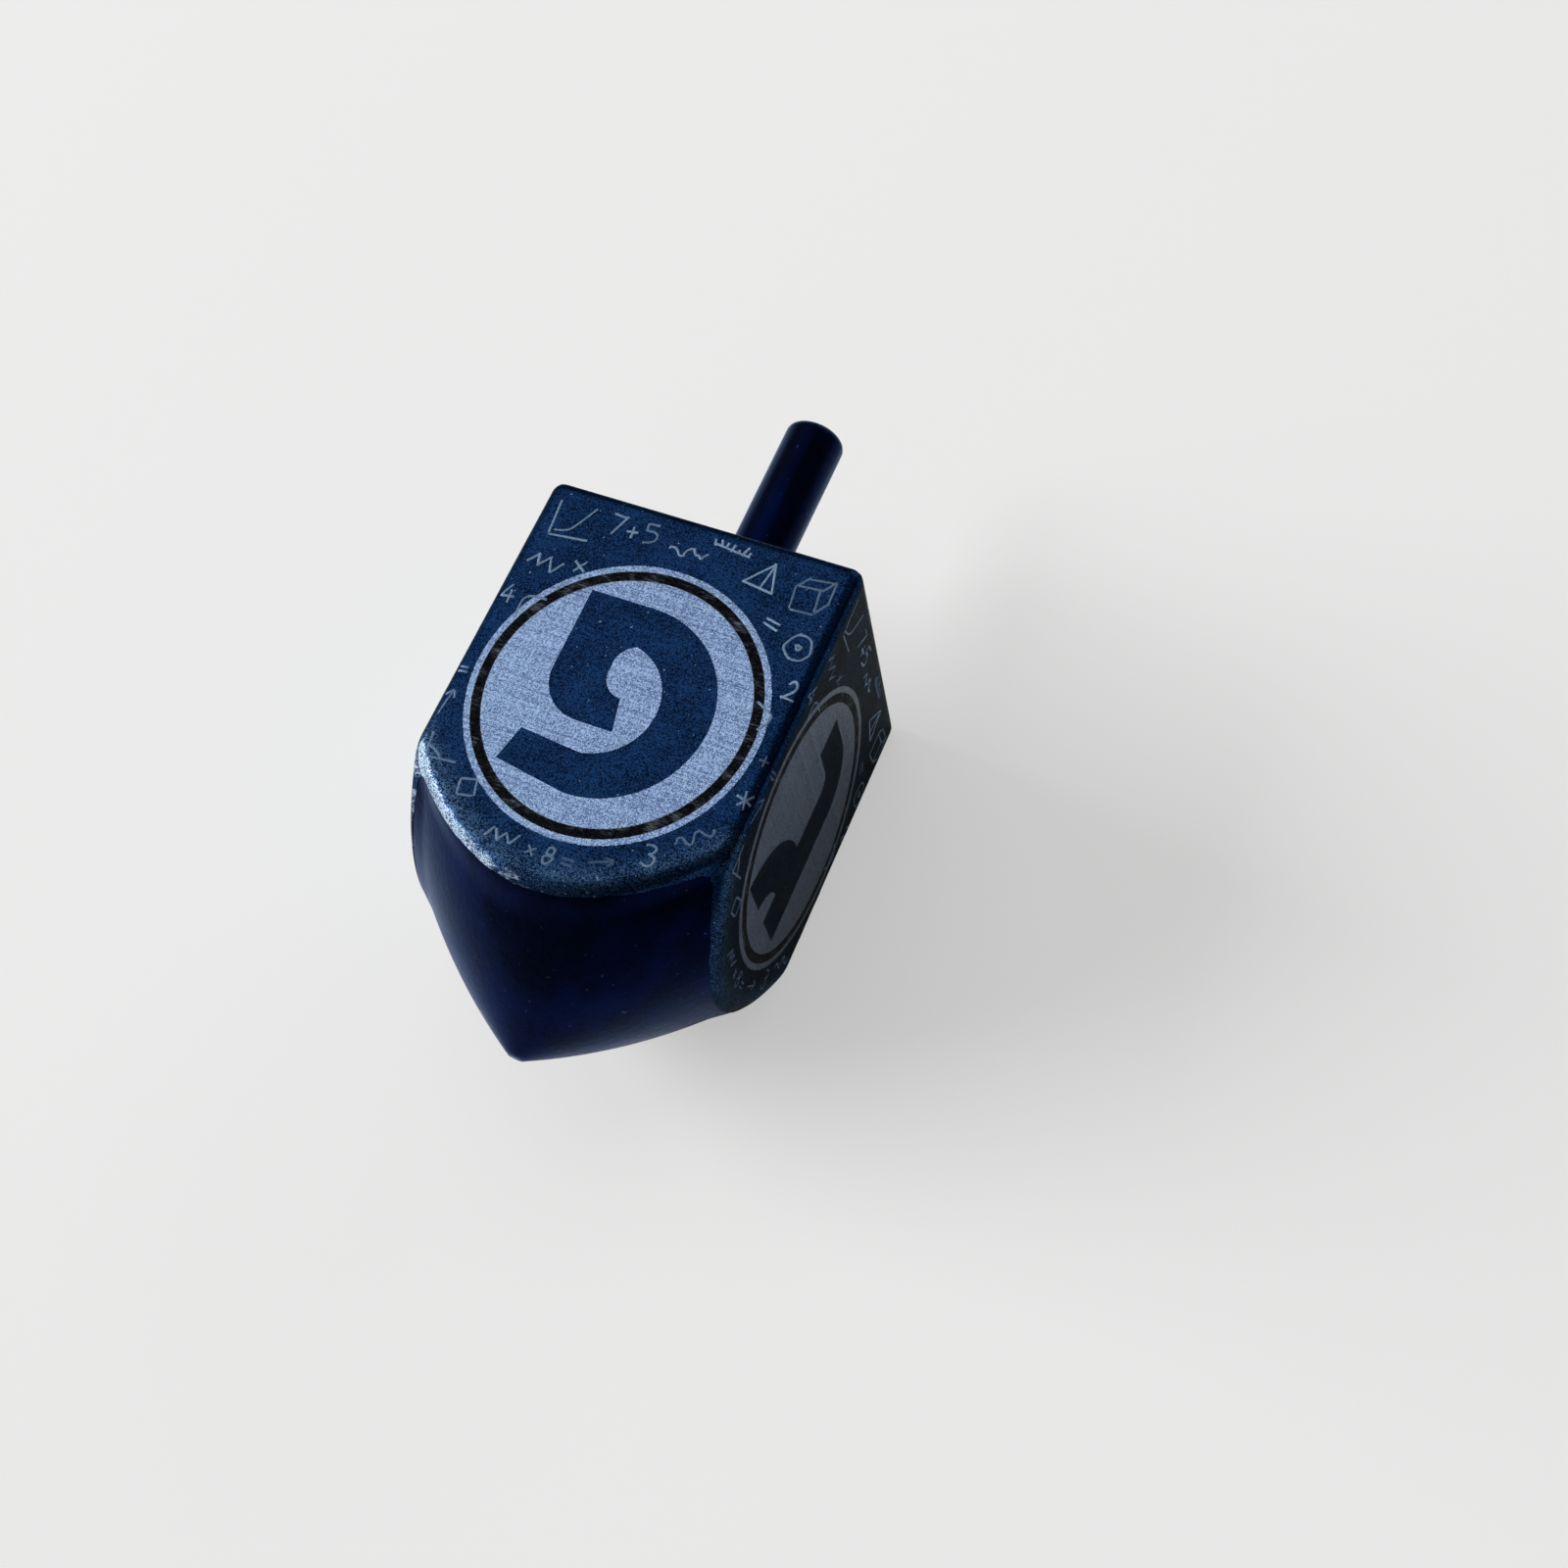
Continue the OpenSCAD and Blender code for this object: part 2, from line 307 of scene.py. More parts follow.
def makeRoundelRim():
    tree, entry, leave = newGroup("roundelRim", {"Radius": 0.0, "Ragged": 0.1 * mm}, ["Outside"])
    place = addNode(tree, "ShaderNodeTexCoord")
    reach = addNode(tree, "ShaderNodeVectorMath", operation="DISTANCE")
    reach.inputs[1].default_value = (0, roundelY, axisHeight)
    tree.links.new(place.outputs["Object"], reach.inputs[0])
    square = joinMath(tree, "SUBTRACT", joinMath(tree, "POWER", reach.outputs["Value"], 2), faceOut ** 2)
    radius = joinMath(tree, "SQRT", joinMath(tree, "MAXIMUM", square, 0), 0)
    cloud = joinMath(tree, "SUBTRACT", objectNoise(tree, roundelRimLook["waves"], 3, 0.7), 0.5)
    swing = joinMath(tree, "MULTIPLY", entry.outputs["Ragged"], roundelRimLook["swing"])
    radius = joinMath(tree, "ADD", radius, joinMath(tree, "MULTIPLY", cloud, swing))
    past = joinMath(tree, "SUBTRACT", radius, entry.outputs["Radius"])
    past = joinMath(tree, "DIVIDE", past, entry.outputs["Ragged"])
    soft = roundelRimLook["soft"]
    tree.links.new(ramp(tree, past, -soft, soft), leave.inputs["Outside"])
    return tree


# brushed paint over wood: orange peel, the grain under it and a few specks
paintSkinLook = {
    "peel": (900, 700, 900),  # waves to a metre
    "grain": (2200, 110, 2200),
    "patches": (240, 90, 240),
    "patchSpan": (0.35, 0.7),
    "specks": (1900, 1900, 1900),
    "speckSpan": (0.735, 0.76),
}


def makePaintSkin():
    tree, entry, leave = newGroup("paintSkin", {"Peel": 1.0, "Grain": 1.0}, ["Tint", "Height", "Specks"])
    peel = joinMath(tree, "MULTIPLY", objectNoise(tree, paintSkinLook["peel"], 2), entry.outputs["Peel"])
    grain = joinMath(tree, "MULTIPLY", objectNoise(tree, paintSkinLook["grain"], 3), entry.outputs["Grain"])
    patches = ramp(tree, objectNoise(tree, paintSkinLook["patches"], 4), *paintSkinLook["patchSpan"])
    specks = ramp(tree, objectNoise(tree, paintSkinLook["specks"], 1), *paintSkinLook["speckSpan"])
    tree.links.new(patches, leave.inputs["Tint"])
    tree.links.new(joinMath(tree, "ADD", peel, grain), leave.inputs["Height"])
    tree.links.new(specks, leave.inputs["Specks"])
    return tree


foilGrain = makeFoilGrain()
wearAndGlintPatch = makeWearAndGlintPatch()
roundelRim = makeRoundelRim()
paintSkin = makePaintSkin()
print("shader groups made")


def grainNode(tree, look):
    return groupNode(tree, foilGrain, {"Speckle": 1.0, "Lines": look["lines"], "Mottle": look["mottle"]})


paintLook = {
    "deep": tone(1, 5, 28), "thin": tone(2, 14, 58), "speck": tone(44, 62, 112), "speckShare": 0.6,
    "metal": 0.97, "shine": 0.03, "rim": (0.72, 0.82, 1.0, 1), "roughness": 0.26, "uneven": 0.08,
    "sheen": 0.22, "sheenTone": (0.26, 0.4, 1.0, 1), "sheenSpread": 0.4,
    "peel": 0.5, "grain": 1.2, "relief": 0.02 * mm,
}


def makeNavyPaint():
    material, tree, shader = newMaterial("navyPaint", {
        "Metallic": paintLook["metal"],
        "Specular IOR Level": paintLook["shine"],
        "Specular Tint": paintLook["rim"],
        "Sheen Weight": paintLook["sheen"],
        "Sheen Tint": paintLook["sheenTone"],
        "Sheen Roughness": paintLook["sheenSpread"]})
    skin = groupNode(tree, paintSkin, {"Peel": paintLook["peel"], "Grain": paintLook["grain"]})
    specks = joinMath(tree, "MULTIPLY", skin.outputs["Specks"], paintLook["speckShare"])
    colour = mixTone(tree, skin.outputs["Tint"], paintLook["deep"], paintLook["thin"])
    tree.links.new(mixTone(tree, specks, colour, paintLook["speck"]), shader.inputs["Base Color"])
    roughest = paintLook["roughness"] + paintLook["uneven"]
    roughness = ramp(tree, skin.outputs["Tint"], 0, 1, paintLook["roughness"], roughest)
    tree.links.new(roughness, shader.inputs["Roughness"])
    addBump(tree, shader, skin.outputs["Height"], paintLook["relief"])
    return material


# printed foil: coloured metal under a thin clear lacquer
foilLook = {
    "metal": 0.96, "shine": 0.04, "lacquer": 0.04, "lacquerRoughness": 0.2, "roughness": 0.31, "uneven": 0.06,
    "relief": 0.006 * mm, "scuffMetal": 0.3, "scuffRoughness": 0.7,
}
blueLook = {
    # bare is rubbed-off foil and a painted glint on the folds; thin is rubbed foil and a painted sheen near
    # them
    "dark": tone(0, 11, 36), "light": tone(24, 59, 105), "bare": tone(190, 214, 240),
    "dust": tone(120, 146, 178), "thin": tone(92, 128, 162), "rim": (0.46, 0.46, 0.36, 1),
    "lines": 0.15, "mottle": 0.3, "ragged": 1.8,
    "thinSheenSpan": (0.35, 0.9),            # grain that the rubbing and the painted sheen show on
    "bareGlintSpan": (0.2, 0.7, 0.12, 1),    # grain that comes off as bare metal and painted glint, and how much of it
    "dulled": 0.9,
}
silverLook = {
    "dark": tone(86, 110, 150), "light": tone(166, 193, 234), "dull": tone(40, 62, 98),
    "rim": (0.68, 0.56, 0.32, 1), "lines": 0.45, "mottle": 0.1, "ragged": 1.2, "fray": 0.06 * mm,
    "discWorn": 0.05, "borderWorn": 0.28,
}
frayIn = 0.3  # share of its fray that an outer rim stands inwards


def newFoil(name, look):
    material, tree, shader = newMaterial(name, {
        "Metallic": foilLook["metal"],
        "Specular IOR Level": foilLook["shine"],
        "Specular Tint": look["rim"],
        "Coat Weight": foilLook["lacquer"],
        "Coat Roughness": foilLook["lacquerRoughness"]})
    grain = grainNode(tree, look)
    roughest = foilLook["roughness"] + foilLook["uneven"]
    smoothest = foilLook["roughness"] - foilLook["uneven"]
    roughness = ramp(tree, grain.outputs["Tint"], 0.2, 0.8, roughest, smoothest)
    tree.links.new(roughness, shader.inputs["Roughness"])
    addBump(tree, shader, grain.outputs["Height"], foilLook["relief"])
    return material, tree, shader, grain


# rubbed foil is duller and less metallic
def scuff(tree, shader, mask):
    roughness = shader.inputs["Roughness"].links[0].from_socket
    dull = joinMath(tree, "MAXIMUM", roughness, joinMath(tree, "MULTIPLY", mask, foilLook["scuffRoughness"]))
    metal = ramp(tree, mask, 0, 1, foilLook["metal"], foilLook["scuffMetal"])
    tree.links.new(dull, shader.inputs["Roughness"])
    tree.links.new(metal, shader.inputs["Metallic"])


def makeBlueFoil():
    material, tree, shader, grain = newFoil("blueFoil", blueLook)
    edge = addNode(tree, "ShaderNodeAttribute", attribute_name="edgeWearAndGlint")
    worn = groupNode(tree, wearAndGlintPatch, {"Ragged": blueLook["ragged"]})
    tree.links.new(edge.outputs["Fac"], worn.inputs["Amount"])
    colour = mixTone(tree, grain.outputs["Tint"], blueLook["dark"], blueLook["light"])
    colour = mixTone(tree, grain.outputs["Dust"], colour, blueLook["dust"])
    # lighter rubbed foil near the folds, partly a painted sheen at the lit end
    rubbed = addNode(tree, "ShaderNodeAttribute", attribute_name="dustingAndSheen")
    thinnedAndSheen = ramp(tree, grain.outputs["Tint"], *blueLook["thinSheenSpan"])
    thinnedAndSheen = joinMath(tree, "MULTIPLY", rubbed.outputs["Fac"], thinnedAndSheen)
    colour = mixTone(tree, thinnedAndSheen, colour, blueLook["thin"])
    # bare metal where the foil is rubbed, partly a painted glint on the lit fold
    speckled = ramp(tree, grain.outputs["Tint"], *blueLook["bareGlintSpan"])
    speckled = joinMath(tree, "MULTIPLY", worn.outputs["Mask"], speckled)
    colour = mixTone(tree, speckled, colour, blueLook["bare"])
    dulled = joinMath(tree, "MULTIPLY", rubbed.outputs["Fac"], blueLook["dulled"])
    scuff(tree, shader, joinMath(tree, "MAXIMUM", worn.outputs["Mask"], dulled))
    tree.links.new(colour, shader.inputs["Base Color"])
    return material


def makeSilverFoil(name, wear, frayed):
    material, tree, shader, grain = newFoil(name, silverLook)
    worn = groupNode(tree, wearAndGlintPatch, {"Amount": wear, "Ragged": silverLook["ragged"]})
    colour = mixTone(tree, grain.outputs["Tint"], silverLook["dark"], silverLook["light"])
    colour = mixTone(tree, worn.outputs["Mask"], colour, silverLook["dull"])
    if frayed:
        fray = silverLook["fray"]
        rim = groupNode(tree, roundelRim, {"Radius": roundelRadius - frayIn * fray, "Ragged": fray})
        blue = mixTone(tree, grain.outputs["Tint"], blueLook["dark"], blueLook["light"])
        colour = mixTone(tree, rim.outputs["Outside"], colour, blue)
    tree.links.new(colour, shader.inputs["Base Color"])
    return material


inkLook = {
    "ink": tone(1, 2, 4), "faded": tone(26, 29, 36), "bare": tone(96, 104, 116),
    "chipped": 0.34, "ragged": 1.9, "lines": 0.5, "mottle": 0.2, "dust": 0.8,
    "shine": 0.02, "roughness": 0.4, "bareRoughness": 0.5, "relief": 0.008 * mm,
    "fray": 0.05 * mm, "innerFray": 0.6,  # share of its fray that the inner rim stands outwards
}


def makeBlackInk():
    material, tree, shader = newMaterial("blackInk", {"Specular IOR Level": inkLook["shine"]})
    grain = grainNode(tree, inkLook)
    worn = groupNode(tree, wearAndGlintPatch, {"Amount": inkLook["chipped"], "Ragged": inkLook["ragged"]})
    colour = mixTone(tree, ramp(tree, grain.outputs["Tint"], 0.5, 1), inkLook["ink"], inkLook["faded"])
    dust = joinMath(tree, "MULTIPLY", grain.outputs["Dust"], inkLook["dust"])
    chips = joinMath(tree, "MAXIMUM", worn.outputs["Mask"], dust)
    fray = inkLook["fray"]
    outer = groupNode(tree, roundelRim, {"Radius": ringRadius - frayIn * fray, "Ragged": fray})
    inner = groupNode(tree, roundelRim, {"Radius": discRadius + inkLook["innerFray"] * fray, "Ragged": fray})
    within = joinMath(tree, "SUBTRACT", 1, inner.outputs["Outside"])
    chips = joinMath(tree, "MAXIMUM", chips, joinMath(tree, "MAXIMUM", outer.outputs["Outside"], within))
    roughness = ramp(tree, worn.outputs["Mask"], 0, 1, inkLook["roughness"], inkLook["bareRoughness"])
    tree.links.new(mixTone(tree, chips, colour, inkLook["bare"]), shader.inputs["Base Color"])
    tree.links.new(roughness, shader.inputs["Roughness"])
    addBump(tree, shader, grain.outputs["Height"], inkLook["relief"])
    return material


chalkLook = {
    "bright": tone(152, 180, 210), "thin": tone(26, 54, 92),
    "worn": 0.24, "ragged": 1.2, "lines": 0.2, "mottle": 0.3,
    "metal": 0.4, "shine": 0.1, "thinRoughness": 0.6, "roughness": 0.45, "relief": 0.008 * mm,
    "keptSpan": (0.1, 0.6, 0.55, 1),  # grain that the chalk stays on, and how much of it
}


def makeChalkLine():
    material, tree, shader = newMaterial("chalkLine", {
        "Metallic": chalkLook["metal"], "Specular IOR Level": chalkLook["shine"]})
    grain = grainNode(tree, chalkLook)
    worn = groupNode(tree, wearAndGlintPatch, {"Amount": chalkLook["worn"], "Ragged": chalkLook["ragged"]})
    pressed = addNode(tree, "ShaderNodeAttribute", attribute_name="pressed")
    kept = ramp(tree, grain.outputs["Tint"], *chalkLook["keptSpan"])
    kept = joinMath(tree, "MULTIPLY", kept, pressed.outputs["Fac"])
    kept = joinMath(tree, "MULTIPLY", kept, joinMath(tree, "SUBTRACT", 1, worn.outputs["Mask"]))
    roughness = ramp(tree, grain.outputs["Tint"], 0, 1, chalkLook["thinRoughness"], chalkLook["roughness"])
    tree.links.new(mixTone(tree, kept, chalkLook["thin"], chalkLook["bright"]), shader.inputs["Base Color"])
    tree.links.new(roughness, shader.inputs["Roughness"])
    addBump(tree, shader, grain.outputs["Height"], chalkLook["relief"])
    return material


navyPaint = makeNavyPaint()
blueFoil = makeBlueFoil()
silverFoil = makeSilverFoil("silverFoil", silverLook["discWorn"], False)
silverRim = makeSilverFoil("silverRim", silverLook["borderWorn"], True)
blackInk = makeBlackInk()
chalkLine = makeChalkLine()
print("materials made")


# turned block: one arc from the tip to the top, spun round and drawn in to the square
def makeBlock():
    shape = bmesh.new()
    rim = blockShape["tipRadius"]
    low = shape.verts.new((0, tipY, 0))
    foot = lineTo(shape, low, rim, tipY)
    shoulderY = topY - blockShape["edgeRound"]
    start = math.atan2(tipY - turnCentre.y, rim - turnCentre.x)
    end = math.asin((shoulderY - turnCentre.y) / blockShape["turnRadius"])
    centre = (turnCentre.x, turnCentre.y, 0)
    last = arcFrom(shape, foot, centre, end - start, blockShape["rowsUp"])
    for row in range(1, blockShape["rowsTop"] + 1):
        bend = row / blockShape["rowsTop"] * math.pi / 2
        y = shoulderY + blockShape["edgeRound"] * math.sin(bend)
        last = lineTo(shape, last, turnedRadius(y), y)
    lineTo(shape, last, 0, topY)
    spinRound(shape, blockShape["stepsRound"])
    for vert in shape.verts:
        radius = math.hypot(vert.co.x, vert.co.z)
        angle = math.atan2(vert.co.x, vert.co.z)
        angle += blockShape["crowding"] / 4 * math.sin(4 * angle)
        share = radius / turnedRadius(vert.co.y)  # under 1 on the tip's flat and inside the top face
        axis = Vector((0, vert.co.y, axisHeight))
        vert.co = axis.lerp(bodyPoint(angle, vert.co.y), share)
    closeShell(shape)
    finishPiece(shape, "turnedBlock", navyPaint, ["block"])


# handle: a dowel with a bead of paint at its foot and a softened end
handleShape = {
    "endRound": 0.8 * mm,
    "endTurn": math.radians(80),
    "endSteps": 8,
    "crown": 0.12 * mm,         # how much the end bulges
    "crownRings": (0.66, 0.33, 0),
    "paintBead": 0.3 * mm,
    "beadSteps": 6,
    "rows": 30,
    "steps": 96,
    "uneven": 0.02 * mm,        # hand-sanded waviness
    "waves": (400, 160, 400),
    "seed": 5,
}


def makeHandle():
    shape = bmesh.new()
    radius = (handleHigh.x - handleLow.x) / 2
    bead = handleShape["paintBead"]
    foot = shape.verts.new((radius + bead, topY, 0))
    last = arcFrom(shape, foot, (radius + bead, topY + bead, 0), -math.pi / 2, handleShape["beadSteps"])
    endStart = handleHigh.y - handleShape["crown"] - handleShape["endRound"]
    endRadius = radius - handleShape["endRound"]
    for row in range(1, handleShape["rows"] + 1):
        last = lineTo(shape, last, radius, topY + bead + (endStart - topY - bead) * row / handleShape["rows"])
    last = arcFrom(shape, last, (endRadius, endStart, 0), handleShape["endTurn"], handleShape["endSteps"])
    for share in handleShape["crownRings"]:
        y = last.co.y + (handleHigh.y - last.co.y) * (1 - share) ** 2 if share else handleHigh.y
        last = lineTo(shape, last, share * endRadius, y)
    spinRound(shape, handleShape["steps"])
    waves, shift = Vector(handleShape["waves"]), Vector((handleShape["seed"],) * 3)
    for vert in shape.verts:
        swell = noise.noise(vert.co * waves + shift)
        away = Vector((vert.co.x, 0, vert.co.z))
        if away.length > radius / 2:
            vert.co += away.normalized() * swell * handleShape["uneven"]
    bmesh.ops.translate(shape, verts=shape.verts[:], vec=(0, 0, axisHeight))
    closeShell(shape)
    finishPiece(shape, "handleDowel", navyPaint, ["handle"])


# foils: from the roundel's rim out to the edge of the side, wrapped over the rounded edges
foilShape = {
    "edgeGap": 0.08 * mm,       # bare strip along a long edge
    "topWrap": math.radians(45),
    "lowerLap": 0.95 * mm,      # how far it laps over the lower edge, measured towards the axis
    "cornerLap": 0.7 * mm,      # and how much more it does so at the long edges
    "ragged": 0.07 * mm,        # uneven trim along the lower edge
    "raggedWaves": 9,
    "wearGlintReach": 0.25 * mm,      # how far above the fold the blue is rubbed to bare metal, which also paints a glint on the fold
    "wearGlintSoft": 0.9 * mm,        # and how gradually that begins
    "wearGlintMost": (0.78, 0.34, 0.48, 0.44),    # how much of it goes on each side: most on pe, which faces the light, and least on gimel, which lies in shade, so it is partly painted highlight
    "wearGlintEnd": (-1, 1, -1, 1),   # at which end of the side it gathers, left or right; on pe that is the left end, where the light falls
    "wearGlintLeast": 0.12,           # share of that at the other end
    "dustSheenReach": 4.5 * mm,      # wider, thinner rubbing, with a painted sheen that gathers at the same end
    "dustSheenMost": 0.08,
    "foldDustGlint": 0.62,           # speckle of bare metal close to the fold, partly a painted glint
    "foldReach": 1.3 * mm,
    "foldLeast": 0.7,           # share of that at the end that gets least of it
    "spokes": 360,
    "rings": 26,
    "crowding": 1.7,            # how much the rings crowd towards the rounded edges
}
edgeAngle = math.pi / 4 - foilShape["edgeGap"] / 2 / (halfWidth * math.sqrt(2))
foilTopY = topY - blockShape["edgeRound"] * (1 - math.sin(foilShape["topWrap"]))


def foldRoom(u, y):
    return turnedRadius(y) - flatRadius(math.atan2(u, faceOut), y, 0)


def lowerRoom(u, y):
    turn = abs(math.atan2(u, faceOut)) / (math.pi / 4)
    return foldRoom(u, y) + foilShape["lowerLap"] + foilShape["cornerLap"] * turn ** 4


def onFoil(u, y, trim):
    return abs(math.atan2(u, faceOut)) < edgeAngle and y < foilTopY and lowerRoom(u, y) > trim


def foilReach(direction, trim):
    near, far = roundelRadius, 2 * halfWidth
    for halving in range(30):
        middle = (near + far) / 2
        inside = onFoil(middle * math.cos(direction), roundelY + middle * math.sin(direction), trim)
        near, far = (middle, far) if inside else (near, middle)
    return near


# share of the rubbing, and of the painted glint and sheen that go with it, at a spot along the side
def wearGlintLean(index, u):
    share = min(max(0.5 + foilShape["wearGlintEnd"][index] * u / halfWidth / 2, 0), 1)
    least = foilShape["wearGlintLeast"]
    return least + (1 - least) * share * share * (3 - 2 * share)


def makeFoil(index):
    shape = bmesh.new()
    wearAndGlint = shape.verts.layers.float.new("edgeWearAndGlint")
    dustingAndSheen = shape.verts.layers.float.new("dustingAndSheen")
    bmesh.ops.create_circle(shape, radius=roundelRadius, segments=foilShape["spokes"])
    edges = shape.edges[:]
    for ring in range(1, foilShape["rings"] + 1):
        share = 1 - (1 - ring / foilShape["rings"]) ** foilShape["crowding"]
        swept = bmesh.ops.extrude_edge_only(shape, edges=edges)["geom"]
        edges = [item for item in swept if isinstance(item, bmesh.types.BMEdge)]
        for vert in [item for item in swept if isinstance(item, bmesh.types.BMVert)]:
            direction = math.atan2(vert.co.y, vert.co.x)
            spot = Vector((math.cos(direction), math.sin(direction), 0)) * foilShape["raggedWaves"]
            wander = noise.noise(spot + Vector((0, 0, index * 7)))  # another trim on each side
            reach = foilReach(direction, wander * foilShape["ragged"])
            distance = roundelRadius + (reach - roundelRadius) * share
            vert.co = (distance * math.cos(direction), distance * math.sin(direction), 0)
    # rubbed foil along the fold, gathered at one end of each side; on pe this is also a painted glint and
    # sheen where the light falls
    for vert in shape.verts:
        u, y = vert.co.x, roundelY + vert.co.y
        fold, lean = foldRoom(u, y), wearGlintLean(index, u)
        near = min(max((foilShape["wearGlintReach"] - fold) / foilShape["wearGlintSoft"], 0), 1)
        vert[wearAndGlint] = foilShape["wearGlintMost"][index] * lean * near
        wide = foilShape["dustSheenMost"] * max(1 - lowerRoom(u, y) / foilShape["dustSheenReach"], 0)
        close = foilShape["foldDustGlint"] * max(1 - abs(fold) / foilShape["foldReach"], 0)
        vert[dustingAndSheen] = lean * wide + max(lean, foilShape["foldLeast"]) * close
        vert.co = bodyPoint(index * math.pi / 2 + math.atan2(u, faceOut), y, foilThickness)
    bmesh.ops.recalc_face_normals(shape, faces=shape.faces[:])
    middle = Vector((0, roundelY, axisHeight))
    face = shape.faces[0]
    if face.normal.dot(face.calc_center_median() - middle) < 0:
        bmesh.ops.reverse_faces(shape, faces=shape.faces[:])
    bmesh.ops.solidify(shape, geom=shape.faces[:], thickness=foilThickness)
    side = sideNames[index]
    finishPiece(shape, side + "FoilWrap", blueFoil, [side + "_foil"])


# chalk doodles: simple figures and signs, in a box from -0.5 to 0.5
def corners(*points):
    return [list(pair) for pair in zip(points, points[1:])]


def loop(radius, x=0.0, y=0.0, turns=1.06, start=1.7):
    return [[(x + radius * math.cos(start + turns * 2 * math.pi * i / 12),
              y + radius * math.sin(start + turns * 2 * math.pi * i / 12)) for i in range(13)]]


def ripple(height, waves):
    return [[(i / 16 - 0.5, height * math.sin(2 * math.pi * waves * i / 16)) for i in range(17)]]


doodles = {
    "triangle": corners((-0.5, -0.4), (0.5, -0.4), (0.05, 0.5), (-0.5, -0.4))
                + corners((0.05, 0.5), (0.05, -0.4)),
    "box": corners((-0.45, -0.45), (0.45, -0.45), (0.45, 0.45), (-0.45, 0.45), (-0.45, -0.45)),
    "crate": corners((-0.5, -0.5), (0.2, -0.5), (0.2, 0.2), (-0.5, 0.2), (-0.5, -0.5))
             + corners((-0.5, 0.2), (-0.2, 0.5), (0.5, 0.5), (0.5, -0.2), (0.2, -0.5))
             + corners((0.2, 0.2), (0.5, 0.5)),
    "target": loop(0.48) + loop(0.1),
    "zigzag": corners((-0.5, -0.15), (-0.3, 0.2), (-0.1, -0.15), (0.1, 0.2), (0.3, -0.15), (0.5, 0.2)),
    "wave": ripple(0.14, 2),
    "arrow": corners((-0.5, 0), (0.5, 0)) + corners((0.2, 0.2), (0.5, 0), (0.2, -0.2)),
    "plus": corners((-0.5, 0), (0.5, 0)) + corners((0, -0.5), (0, 0.5)),
    "times": corners((-0.4, -0.4), (0.4, 0.4)) + corners((-0.4, 0.4), (0.4, -0.4)),
    "equals": corners((-0.5, 0.2), (0.5, 0.2)) + corners((-0.5, -0.2), (0.5, -0.2)),
    "spark": corners((0, -0.5), (0, 0.5)) + corners((-0.43, -0.25), (0.43, 0.25))
             + corners((-0.43, 0.25), (0.43, -0.25)),
    "corner": corners((-0.5, 0.45), (-0.5, -0.45), (0.5, -0.45))
              + [[(-0.5, 0.0), (-0.18, -0.12), (-0.05, -0.45)]],
    "curve": corners((-0.5, 0.5), (-0.5, -0.5)) + corners((-0.5, -0.5), (0.5, -0.5))
             + [[(-0.5, -0.4), (-0.15, -0.36), (0.12, -0.1), (0.4, 0.45)]],
    "ruler": corners((-0.5, -0.1), (0.5, -0.1)) + [[(i / 6 - 0.5, -0.1), (i / 6 - 0.5, 0.06 + 0.08 * (i % 2))]
                                                    for i in range(7)],
    "bow": [[(-0.5, -0.25), (-0.25, 0.1), (0, 0.2), (0.25, 0.1), (0.5, -0.25)]],
    "two": [[(-0.28, 0.25), (-0.1, 0.5), (0.22, 0.42), (0.22, 0.12), (-0.05, -0.2), (-0.32, -0.5)]]
           + corners((-0.32, -0.5), (0.34, -0.48)),
    "three": [[(-0.28, 0.4), (0.0, 0.54), (0.28, 0.35), (0.18, 0.1), (-0.08, 0.05)],
              [(-0.08, 0.05), (0.28, 0.0), (0.32, -0.3), (0.05, -0.54), (-0.3, -0.38)]],
    "four": corners((0.12, 0.5), (-0.34, -0.16), (0.36, -0.16)) + corners((0.14, 0.2), (0.1, -0.5)),
    "five": corners((0.3, 0.5), (-0.22, 0.48), (-0.26, 0.08))
            + [[(-0.26, 0.08), (0.1, 0.16), (0.36, -0.1), (0.22, -0.45), (-0.3, -0.46)]],
    "seven": corners((-0.32, 0.48), (0.32, 0.5), (-0.08, -0.5)),
    "eight": loop(0.22, 0.0, 0.26) + loop(0.27, 0.0, -0.23, start=1.5),
}

# figure, millimetres right of the middle, millimetres below the top face, size and turn in degrees
chalkLayout = [
    ("curve", -9.5, 3.1, 3.0, 4), ("seven", -6.3, 2.5, 1.7, -5), ("plus", -4.9, 2.7, 1.0, 8),
    ("five", -3.5, 2.4, 1.7, 6), ("wave", -0.3, 3.0, 3.0, 10), ("ruler", 2.9, 1.5, 3.0, -6),
    ("triangle", 6.1, 3.1, 2.5, -8), ("crate", 10.0, 3.4, 2.7, 5), ("zigzag", -10.1, 7.2, 2.8, -12),
    ("times", -7.4, 6.6, 1.1, 10), ("target", 10.7, 7.7, 2.2, 0), ("equals", 8.1, 6.5, 1.2, -10),
    ("four", -11.6, 10.4, 1.6, 5), ("bow", -9.8, 10.6, 2.6, 52), ("two", 11.6, 11.0, 1.5, -6),
    ("bow", 10.6, 13.6, 2.4, -75), ("arrow", -11.9, 20.0, 2.2, 78), ("equals", -11.9, 17.2, 0.9, 4),
    ("spark", 11.9, 19.9, 1.4, 12), ("plus", 12.0, 16.7, 0.9, 0), ("corner", -10.2, 23.3, 2.2, 10),
    ("box", -7.2, 25.6, 1.4, 14), ("wave", 9.7, 23.6, 2.8, 42), ("three", 7.3, 25.9, 1.6, 8),
    ("zigzag", -3.1, 28.1, 2.4, -5), ("times", -0.7, 28.4, 0.8, 0), ("eight", 0.7, 28.3, 1.3, -4),
    ("equals", 2.1, 28.3, 0.9, 4), ("arrow", 4.4, 27.5, 1.8, 24),
]
